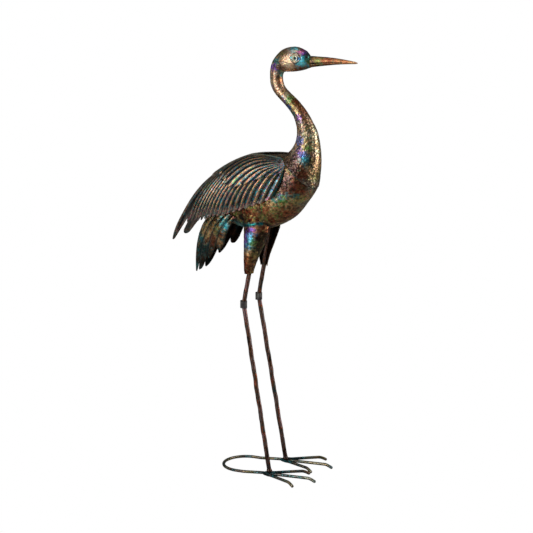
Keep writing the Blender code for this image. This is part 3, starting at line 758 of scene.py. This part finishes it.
def wing_tint(outer, shape):
    """Gold and copper streaks down each feather, partly patina colour and partly painted highlight along the
    ridges, teal and rose lines beside them, and painted shade in the grooves and below the coverts' ends.
    """
    phase, along, place = shape["phase"], shape["along"], shape["place"]
    groove = drifting(outer, 16, 12, "dark teal dark deep_teal brown teal dark")
    drift = wander(outer, 14, 60)
    bright = ramp(drift, "copper gold rose gold gold copper gold rose gold")
    covert = ramp(drift, "gold teal copper gold olive rose gold copper gold")
    bright = blend(bright, covert, 0.7 * shape["upper"])
    rear = ramp(drift, "olive gold olive gold teal gold brown grey")
    bright = blend(bright, rear, np.clip((place - 0.55) * 1.8, 0, 0.5))
    bright = blend(bright, "grey", 0.75 * np.clip((0.16 - along) * 9, 0, 1))
    worn = np.clip(0.35 + 1.5 * wander(outer, 11, 33), 0.2, 1.3)
    # The bright streak is partly patina colour and partly a painted highlight along each feather's ridge
    tint = blend(groove, bright, bell(phase - 0.42, 0.13) * worn)
    cool = drifting(outer, 13, 81, "teal magenta teal deep_teal blue rose teal cyan")
    tint = blend(tint, cool, 0.85 * bell(phase - 0.69, 0.10))
    lit = drifting(outer, 12, 17, "teal magenta cyan deep_teal rose teal green")
    tint = blend(tint, lit, 0.7 * bell(phase - 0.23, 0.06))
    # Painted shade in the grooves between the feathers
    in_groove = np.clip((phase - 0.84) * 9, 0, 1) + np.clip((0.15 - phase) * 9, 0, 1)
    tint = blend(tint, "dark", 0.95 * in_groove * np.clip(along * 8 - 0.8, 0, 1))
    # Painted shade just below the ends of the coverts
    past_covert = along - shape["covert"]
    past_step = np.clip(past_covert / 0.02, 0, 1) * np.clip(1 - past_covert / 0.05, 0, 1)
    tint = blend(tint, "dark", 0.7 * past_step)
    hem = drifting(outer, 11, 5, "rose teal peach mauve teal peach rose grey")
    tint = blend(tint, hem, 0.85 * np.clip((along - 0.92) * 20, 0, 1))
    lead_tint = drifting(outer, 14, 71, "deep_teal teal deep_teal rose") * 0.7
    tint = blend(tint, lead_tint, 0.9 * bell(place, 0.03) * np.clip(along * 4, 0, 1))
    crest_tint = drifting(outer, 16, 19, "grey grey olive grey teal grey") * 1.3
    crest = np.clip((place - 0.93) * 16, 0, 1) * np.clip(1.6 - 2.2 * along, 0, 1)
    tint = blend(tint, crest_tint, 0.8 * crest)
    darker = 1 - 0.5 * np.clip((place - 0.5) * 2.5, 0, 1) * np.clip(2.4 * along - 0.5, 0, 1)
    return tint * (darker * (0.7 + 0.4 * (1 - shape["barb"])))[..., None]


def make_wings(look):
    outer, inner, shape = wing_shape()
    # The crest and the inner side are dull, without lacquer
    worn = np.clip((shape["place"] - 0.9) * 12, 0, 1) * np.clip(1.6 - 2.2 * shape["along"], 0, 1)
    metal = np.stack([1 - 0.7 * worn, 0.2 + 0 * worn])
    crest = np.clip((shape["place"] - 0.85) * 9, 0, 1) * (shape["along"] < 0.8)
    for side, label in SIDES:
        out_grid, in_grid = [grid * (1, side, 1) for grid in (outer, inner)]
        tint = wing_tint(out_grid, shape)
        under = drifting(in_grid, 22, 3, "grey brown grey deep_teal grey") * 0.9
        under = blend(under * 0.6, "grey", 0.8 * crest)
        grids = (out_grid, in_grid, tint, under)
        side_metal = metal[:, :, ::side].ravel()
        sheet("wing_%s_sheet" % label, grids, side < 0, look, "wing_" + label, side_metal)


# Tail

TAIL_PATCHES = [
    (-113, 614, 9, "cyan", 7), (-121, 624, 8, "teal", 6), (-97, 628, 9, "dark", 7),
    (-168, 591, 12, "gold", 5), (-152, 572, 10, "red_brown", 6), (-134, 574, 8, "gold", 5),
    (-184, 544, 12, "deep_teal", 8), (-194, 507, 12, "dark", 8), (-152, 537, 9, "dark", 6),
    (-110, 563, 8, "dark", 6), (-190, 575, 10, "teal", 5), (-140, 600, 9, "olive", 5),
    (-128, 590, 7, "red_brown", 5), (-208, 500, 8, "teal", 4),
]


def clear_of(points, surface):
    """Points moved to just outside a surface where they are in it."""
    moved = points.copy()
    flat = moved.reshape(-1, 3)
    for index, point in enumerate(flat):
        nearest, normal, _, distance = surface.find_nearest(Vector(point))
        if (Vector(point) - nearest).dot(normal) < 0 or distance < 1.0:
            flat[index] = nearest + normal * 1.0
    return moved


def make_tails(look, surface):
    feather = np.arange(TAIL_STEPS * TAIL_FEATHERS + 1) / TAIL_STEPS
    numbers = lookup(smooth(TAIL, 10), feather / TAIL_FEATHERS)
    root, bend, tip = [np.stack(numbers[start:start + 3], axis=-1) for start in (0, 3, 6)]
    phase = feather - np.floor(feather)
    edge = np.abs(2 * phase - 1)
    notch = TAIL_NOTCH * edge ** 2.8
    along = np.linspace(0, 1, TAIL_ROWS)[:, None]
    t = (along * (1 - notch))[..., None]
    line = (1 - t) ** 2 * root + 2 * t * (1 - t) * bend + t ** 2 * tip
    out = normals_of(line, False)
    out = np.where(out[..., 1:2] < 0, -out, out)
    arch = np.sin(math.pi * phase)
    base = clear_of(line + out * (TAIL_RIDGE * arch)[:, None], surface)
    for side, label in SIDES:
        inner = base * (1, side, 1)
        marks = dimples(inner, SHEET_MARK)
        outer = inner + (out * (1, side, 1)) * (SHEET + SHEET_MARK_DEPTH * marks)[..., None]
        tint = drifting(inner, 9, 8, "deep_teal olive gold dark red_brown gold olive teal")
        tip_tint = drifting(inner, 14, 3, "dark deep_teal brown dark teal red_brown")
        tint = blend(tint, tip_tint, np.clip((along - 0.55) * 3, 0, 0.8))
        tint = patches(tint, inner, TAIL_PATCHES, 5)
        tint = blend(tint, "deep_teal", np.clip((edge - 0.6) * 2.2, 0, 0.9))
        tint = blend(tint, "rose", 0.25 * np.clip((0.08 - along) * 14, 0, 1))
        tint = tint * hammered(marks, 0.5, 1.0)
        under = drifting(inner, 30, 3, "dark brown deep_teal dark") * 0.7
        grids = (outer, inner, tint, under)
        sheet("tail_%s_sheet" % label, grids, side < 0, look, "tail_" + label)


# Thighs

# Patches on the thigh: x, z, radius, colour and strength. The dark ones down its front are painted shade,
# where the thigh curves away from the light; the rest are patina colours
THIGH_PATCHES = [
    (-59, 592, 9, "violet", 8), (-62, 578, 8, "violet", 7), (-45, 605, 10, "violet", 7),
    (-59, 570, 8, "blue", 7), (-46, 592, 9, "cyan", 9), (-51, 578, 8, "cyan", 6),
    (-48, 565, 9, "teal", 7), (-40, 577, 7, "green", 5), (-50, 555, 9, "gold", 6),
    (-57, 537, 12, "red_brown", 7), (-56, 518, 13, "red_brown", 7), (-42, 544, 9, "olive", 6),
    (-23, 586, 14, "dark", 18), (-14, 600, 12, "dark", 14), (-32, 560, 10, "dark", 16),
    (-8, 612, 12, "red_brown", 8), (-64, 612, 9, "brown", 6), (-30, 610, 9, "copper", 5),
    (-38, 535, 9, "dark", 8), (-45, 514, 9, "dark", 7),
]


def make_thighs(look, surface):
    share = np.linspace(0, 1, THIGH_ROWS)
    turn = np.linspace(0, math.pi, THIGH_COLUMNS)
    front, back, inner_y, outer_y = [line[:, None] for line in lookup(smooth(THIGH, 8), share)]
    z = THIGH_HEM + (THIGH_BOTTOM - THIGH_HEM) * share[:, None] + 0 * turn
    skins = []
    for inset in (0, SHEET):
        x = (front + back) / 2 + ((front - back) / 2 - inset) * np.cos(turn)
        y = inner_y + (outer_y - inner_y - inset) * np.sin(turn)
        y = y + THIGH_TURN * (1 - np.cos(turn)) / 2
        skin = np.stack([x, y, z], axis=2)
        top = skin[0].copy()
        for column in range(THIGH_COLUMNS):
            hit = surface.ray_cast(Vector(top[column]), Vector((0, 0, 1)))
            top[column, 2] = min(THIGH_TOP, hit[0].z - WELD_GAP) if hit[0] else THIGH_TOP
        rise = np.linspace(0, 1, THIGH_TOP_ROWS)[:-1, None, None]
        skins.append(np.concatenate([top + (skin[0] - top) * rise, skin]))
    for side, label in SIDES:
        outer, inner = [skin * (1, side, 1) for skin in skins]
        normal = -normals_of(outer, False) * side
        marks = dimples(outer, SHEET_MARK)
        outer = outer + normal * (SHEET_MARK_DEPTH * marks)[..., None]
        tint = drifting(outer, 24, 18, "dark red_brown gold olive brown copper")
        # Patina patches, with painted shade down the thigh's front
        tint = patches(tint, outer, THIGH_PATCHES, 5)
        # The hem of the belly, a teal band above the thigh
        band = outer[..., 2] - 614 - 0.19 * (outer[..., 0] + 85) - 3 * (wander(outer, 9, 40) - 0.5)
        belly = drifting(outer, 12, 55, "dark red_brown brown olive red_brown brown")
        tint = blend(tint, belly, np.clip((band - 4) / 3, 0, 1))
        hem = drifting(outer, 9, 66, "deep_teal teal deep_teal")
        tint = blend(tint, hem, np.exp(-(band / 5) ** 4)) * hammered(marks, 0.5, 0.95)
        under = drifting(inner, 30, 3, "dark brown dark") * 0.6
        grids = (outer, inner, tint, under)
        sheet("thigh_%s_sheet" % label, grids, side > 0, look, "thigh_" + label)


# Rods

def rod_grid(path, radius, turn):
    """Rings of points round a path."""
    along = unit(np.gradient(path, axis=0))
    level = np.array((0, 0, 1.0)) if abs(along[0, 2]) < 0.8 else np.array((1.0, 0, 0))
    side = unit(np.cross(along, level))
    up = np.cross(side, along)
    reach = np.cos(turn)[None, :, None] * side[:, None] + np.sin(turn)[None, :, None] * up[:, None]
    return path[:, None] + radius[..., None] * reach


def path_length(path):
    return np.concatenate([[0], np.cumsum(np.linalg.norm(np.diff(path, axis=0), axis=1))])


def even_path(points, spacing):
    """Points at an even spacing along a path."""
    points = np.array(points)
    distance = path_length(points)
    places = np.linspace(0, distance[-1], max(2, int(distance[-1] / spacing)))
    return np.stack([np.interp(places, distance, points[:, axis]) for axis in range(3)], axis=1)


def slide_to_plane(ring, along, point, normal):
    """A ring's points slid along the rod to a plane."""
    reach = (point - ring) @ normal / (along @ normal)
    return ring + along * reach[:, None]


def slide_to_surface(ring, along, surface):
    """A ring's points slid along the rod until they meet a surface."""
    met = ring.copy()
    for index, point in enumerate(ring):
        hit = surface.ray_cast(Vector(point - along * 60), Vector(along))
        if hit[0]:
            met[index] = np.array(hit[0]) - along * WELD_GAP
    return met


def leg_points(side):
    """A leg's ankle, knee and hip, and the directions of its lower rod, its upper rod and its collar."""
    ankle, knee, hip = [np.array(point) * (1, side, 1) for point in (ANKLE, KNEE, HIP)]
    shin, thigh = unit(knee - ankle), unit(hip - knee)
    return ankle, knee, hip, shin, thigh, unit(shin + thigh)


def leg_tint(grid, seed):
    """Long streaks of red-brown, grey and dark teal."""
    names = "dark brown mauve brown slate brown deep_teal brown red_brown mauve"
    tint = drifting(grid * (1, 1, 0.2), 14, seed, names)
    return tint * np.interp(grid[..., 2], (15, 70), (0.45, 1.2))[..., None]


def make_legs(look, surface):
    turn = round_turn(LEG_SIDES)
    for side, label in SIDES:
        ankle, knee, hip, shin, thigh, through = leg_points(side)
        for name, start, end, seed in (("lower_leg", ankle, knee, 3), ("upper_leg", knee, hip, 9)):
            path = even_path((start, end), LEG_SPACING)
            distance = path_length(path)[:, None]
            # The rods are forged a little wavy
            round_once = 2 * math.pi * distance
            wave = 0.5 * np.sin(round_once / 88 + seed) + 0.25 * np.sin(round_once / 37)
            path = path + np.array((1, 0, 0)) * wave * np.sin(math.pi * distance / distance[-1])
            twist = 0.5 + 0.5 * np.cos(4 * (turn - round_once / 150 * side))
            radius = LEG_RADIUS * (1 - 0.04 * twist)
            if name == "lower_leg":
                radius = radius + 1.6 * bell(distance - 1, 4.5)
            marks = dimples(rod_grid(path, radius, turn) * (1, 1, 0.5), ROD_MARK)
            grid = rod_grid(path, radius * (1 + 0.05 * marks), turn)
            if name == "lower_leg":
                grid[0] = slide_to_plane(grid[0], shin, ankle, np.array((0, 0, 1.0)))
                grid[-1] = slide_to_plane(grid[-1], shin, knee - through * MITRE_GAP, through)
                grid[-2:-1] = grid[-3] * 0.4 + grid[-1] * 0.6
            else:
                grid[0] = slide_to_plane(grid[0], thigh, knee + through * MITRE_GAP, through)
                top = slide_to_surface(grid[-1], thigh, surface)
                keep = int(len(grid) * 0.75)
                rise = np.linspace(0, 1, 26)[1:, None, None]
                grid = np.concatenate([grid[:keep], grid[keep - 1] + (top - grid[keep - 1]) * rise])
                marks = dimples(grid * (1, 1, 0.5), ROD_MARK)
            tint = leg_tint(grid, seed) * hammered(marks, 1.0, 0.4)
            tube("%s_%s_rod" % (name, label), grid, tint, look, "%s_%s" % (name, label))


def foot_tint(grid, light):
    """Teal-black near the welds, cream and gold where it is worn."""
    dark = drifting(grid, 22, 5, "deep_teal slate teal dark deep_teal slate")
    pale = drifting(grid, 26, 25, "cream gold olive cream copper grey") * 0.45
    return blend(dark, pale, light)


def foot_radius(distance, turn, total, ends):
    """A toe rod's radius, with hammered spiral marks and rounded ends."""
    hatch = 0.5 + 0.5 * np.cos(2 * turn + 2 * math.pi * distance / 6.4)
    radius = TOE_RADIUS * (1.05 - 0.03 * hatch)
    for at_start in ends:
        reach = distance if at_start else total - distance
        inside = np.clip(1 - reach / TOE_RADIUS, 0, 1)
        radius = radius * np.sqrt(np.maximum(0.03, 1 - inside ** 2))
    return radius


def make_feet(look):
    half = [
        (MIDDLE_TOE, FOOT_SPREAD, TOE_RADIUS),
        (MIDDLE_TOE - TOE_TIP, FOOT_SPREAD, TOE_RADIUS + KNUCKLE_RISE),
        (MIDDLE_TOE - 2 * TOE_TIP, FOOT_SPREAD, TOE_RADIUS + KNUCKLE_RISE + 0.4),
        (14, FOOT_SPREAD, TOE_RADIUS + ARCH_RISE),
        (-14, FOOT_SPREAD, TOE_RADIUS + ARCH_RISE),
        (-LOOP_ARM * 0.8, FOOT_SPREAD, TOE_RADIUS),
    ]
    bend = [(-LOOP_ARM - FOOT_SPREAD * math.sin(angle), FOOT_SPREAD * math.cos(angle), TOE_RADIUS)
            for angle in np.linspace(0, math.pi, 25)]
    path = smooth(half + bend + [(x, -y, z) for x, y, z in reversed(half)], 10)
    path[:, 2] = np.maximum(path[:, 2], TOE_RADIUS)
    path = even_path(path, TOE_SPACING)
    turn = round_turn(TOE_SIDES)
    distance = path_length(path)[:, None]
    radius = foot_radius(distance, turn, distance[-1], (True, False))
    grid = rod_grid(path, radius, turn)
    grid[..., 2] = np.maximum(grid[..., 2], 0)
    near_ankle = bell(grid[..., 0] + 2, 34)
    light = np.clip(0.75 - near_ankle + 0.9 * (wander(grid, 45, 8) - 0.5), 0, 1)
    tint = foot_tint(grid, light * 0.85) * (0.7 + 0.4 * radius / TOE_RADIUS)[..., None]
    tube("foot_loop_rod", grid, tint, look, "foot_loop")
    for side, label in SIDES:
        for kind, angle in (("inner", -side * INNER_TURN), ("outer", side * OUTER_TURN)):
            make_side_toe("%s_toe_%s" % (kind, label), side, angle, look)


def make_side_toe(name, side, angle, look):
    turn = round_turn(TOE_SIDES)
    ahead = np.array((math.cos(angle), math.sin(angle), 0))
    root = np.array((SIDE_TOE_ROOT, side * FOOT_SPREAD, 0))
    up = np.array((0, 0, 1.0))
    bends = [
        (2 * TOE_RADIUS / abs(math.sin(angle)), ARCH_RISE),
        (SIDE_TOE - 2 * TOE_TIP, KNUCKLE_RISE + 0.4),
        (SIDE_TOE - TOE_TIP, KNUCKLE_RISE),
        (SIDE_TOE, 0),
    ]
    points = [root + ahead * reach + up * (TOE_RADIUS + rise) for reach, rise in bends]
    path = even_path(smooth(points, 12), TOE_SPACING)
    path[:, 2] = np.maximum(path[:, 2], TOE_RADIUS)
    distance = path_length(path)[:, None]
    radius = foot_radius(distance, turn, distance[-1], (False,))
    radius = radius + 1.1 * bell(distance, 6)
    grid = rod_grid(path, radius, turn)
    grid[..., 2] = np.maximum(grid[..., 2], 0)
    outward = 1 if angle > 0 else -1
    face = np.array((0, side * FOOT_SPREAD + outward * (TOE_RADIUS + 0.3), 0))
    along = unit(path[1] - path[0])
    grid[0] = slide_to_plane(grid[0], along, face, np.array((0, 1.0, 0)))
    light = np.clip((grid[..., 0] - 30) / 40 + 0.6 * (wander(grid, 30, 18) - 0.5), 0, 1)
    tint = foot_tint(grid, light * 0.9) * (0.7 + 0.4 * radius / TOE_RADIUS)[..., None]
    tube(name + "_rod", grid, tint, look, name)


def make_collars(look):
    """The knee collars, with their lugs beaten flatter against the sleeve."""
    for side, label in SIDES:
        name = "knee_collar_" + label
        _, knee, _, _, _, through = leg_points(side)
        middle = row_frame(knee)
        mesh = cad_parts[name].data.copy()
        for vert in mesh.vertices:
            away = np.array(vert.co) - middle
            level = away @ through
            out = away - level * through
            reach = np.linalg.norm(out)
            out = out * min(1, COLLAR_REACH * MM / reach)
            level = np.clip(level, -COLLAR_HALF * MM, COLLAR_HALF * MM)
            vert.co = middle + level * through + out
        mesh.materials.clear()
        add_piece(name + "_sleeve", mesh, look, name)


# The whole statue

def make_statue():
    trunk_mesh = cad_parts["trunk"].data
    corners = [(vert.co - Vector((ANKLE_X, 0, 0))) / MM for vert in trunk_mesh.vertices]
    surface = BVHTree.FromPolygons(corners, [tuple(face.vertices) for face in trunk_mesh.polygons])
    skin = patina_look("hammered_patina_and_painted_light", (0.32, 0.50), coat=0.2)
    make_head_and_neck(skin)
    make_trunk(skin)
    make_beak(patina_look("copper_patina", (0.28, 0.48), mark_depth=0.15, coat=0.1))
    make_wings(patina_look("feather_patina_and_painted_light", (0.30, 0.50), mark_size=4, coat=0.1))
    make_tails(skin, surface)
    make_thighs(skin, surface)
    rods = patina_look("rod_patina", (0.3, 0.55), mark_size=6, mark_depth=0.1, coat=0.2, specks=0.25)
    make_legs(rods, surface)
    make_feet(rods)
    iron = patina_look("collar_patina", (0.4, 0.6), plain=IRON, specks=0.3)
    make_collars(iron)
    # The rivets keep their CAD form
    for _, label in SIDES:
        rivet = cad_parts["wing_rivet_" + label]
        rivet.data.materials.clear()
        rivet.data.materials.append(iron)


# Studio, in metres

CENTRE = Vector((0, 0, 0.62))
# Level directions from the bird to the camera and to the picture's right
TOWARD = Vector((0.3921, -0.8898, 0)).normalized()
RIGHT = Vector((0.8898, 0.3921, 0)).normalized()
# Lamps: name, degrees round from the camera, height, distance, width, length and power
LAMPS = [
    ("key_left", -40, 0.75, 2.6, 1.0, 2.0, 36),
    ("rim_right", 84, 0.5, 2.2, 0.55, 1.9, 24),
    ("top", -20, 2.3, 0.8, 1.3, 1.3, 10),
    ("rim_left", -112, 0.5, 2.4, 0.5, 1.8, 4),
]
FILL_LIGHT = 0.10
FLOOR_REACH = 6.0
FLOOR_DROP = 0.0004
FLOOR_GREY = (0.30, 0.30, 0.30, 1)
CAMERA_AT = (1.7825, -4.037, 1.569)
CAMERA_LOOKS = Vector((-0.3921, 0.8898, -0.2336))
LENS = 128.0
SENSOR = 36
WHITE = (1, 1, 1, 1)


def facing(name, data, location, direction):
    """A lamp or camera that looks in a direction."""
    made = in_scene(name, data)
    made.location = location
    made.rotation_mode = "QUATERNION"
    made.rotation_quaternion = direction.to_track_quat("-Z", "Y")
    return made


def softbox(name, angle, height, distance, width, length, power):
    """A rectangular lamp that faces the middle of the bird."""
    turned = math.radians(angle)
    level = TOWARD * math.cos(turned) + RIGHT * math.sin(turned)
    location = CENTRE + level * distance + Vector((0, 0, height))
    lamp = bpy.data.lights.new(name, "AREA")
    lamp.shape = "RECTANGLE"
    lamp.size = width
    lamp.size_y = length
    lamp.energy = power
    facing(name, lamp, location, CENTRE - location)


def make_backdrop():
    """White where the camera sees it, and a soft fill light on the bird."""
    world = bpy.data.worlds.new("studio")
    world.use_nodes = True
    tree = world.node_tree
    back = tree.nodes["Background"]
    put(back, {"Color": WHITE})
    rays = tree.nodes.new("ShaderNodeLightPath")
    level = tree.nodes.new("ShaderNodeMapRange")
    put(level, {"To Min": FILL_LIGHT, "To Max": 1.0})
    link(tree, rays, "Is Camera Ray", level, "Value")
    link(tree, level, "Result", back, "Strength")
    bpy.context.scene.world = world


def make_floor():
    """A plain floor, white where the camera sees it and grey in what it casts on the bird."""
    mesh = bpy.data.meshes.new("floor")
    corners = [(x * FLOOR_REACH, y * FLOOR_REACH, 0) for x, y in ((-1, -1), (1, -1), (1, 1), (-1, 1))]
    mesh.from_pydata(corners, [], [(0, 1, 2, 3)])
    floor = in_scene("floor", mesh)
    floor.location.z = -FLOOR_DROP
    paper = bpy.data.materials.new("floor_paper")
    paper.use_nodes = True
    tree = paper.node_tree
    shader = tree.nodes["Principled BSDF"]
    put(shader, {"Base Color": FLOOR_GREY, "Roughness": 0.9})
    glow = tree.nodes.new("ShaderNodeEmission")
    put(glow, {"Color": WHITE, "Strength": 1.0})
    rays = tree.nodes.new("ShaderNodeLightPath")
    mix = tree.nodes.new("ShaderNodeMixShader")
    link(tree, rays, "Is Camera Ray", mix, "Fac")
    tree.links.new(shader.outputs["BSDF"], mix.inputs[1])
    tree.links.new(glow.outputs["Emission"], mix.inputs[2])
    link(tree, mix, "Shader", tree.nodes["Material Output"], "Surface")
    mesh.materials.append(paper)


def make_camera():
    lens = bpy.data.cameras.new("camera")
    lens.lens = LENS
    lens.sensor_width = SENSOR
    bpy.context.scene.camera = facing("camera", lens, CAMERA_AT, CAMERA_LOOKS)


def make_studio():
    for lamp in LAMPS:
        softbox(*lamp)
    make_backdrop()
    make_floor()
    make_camera()
    bpy.context.scene.view_settings.view_transform = "Standard"


make_statue()
make_studio()
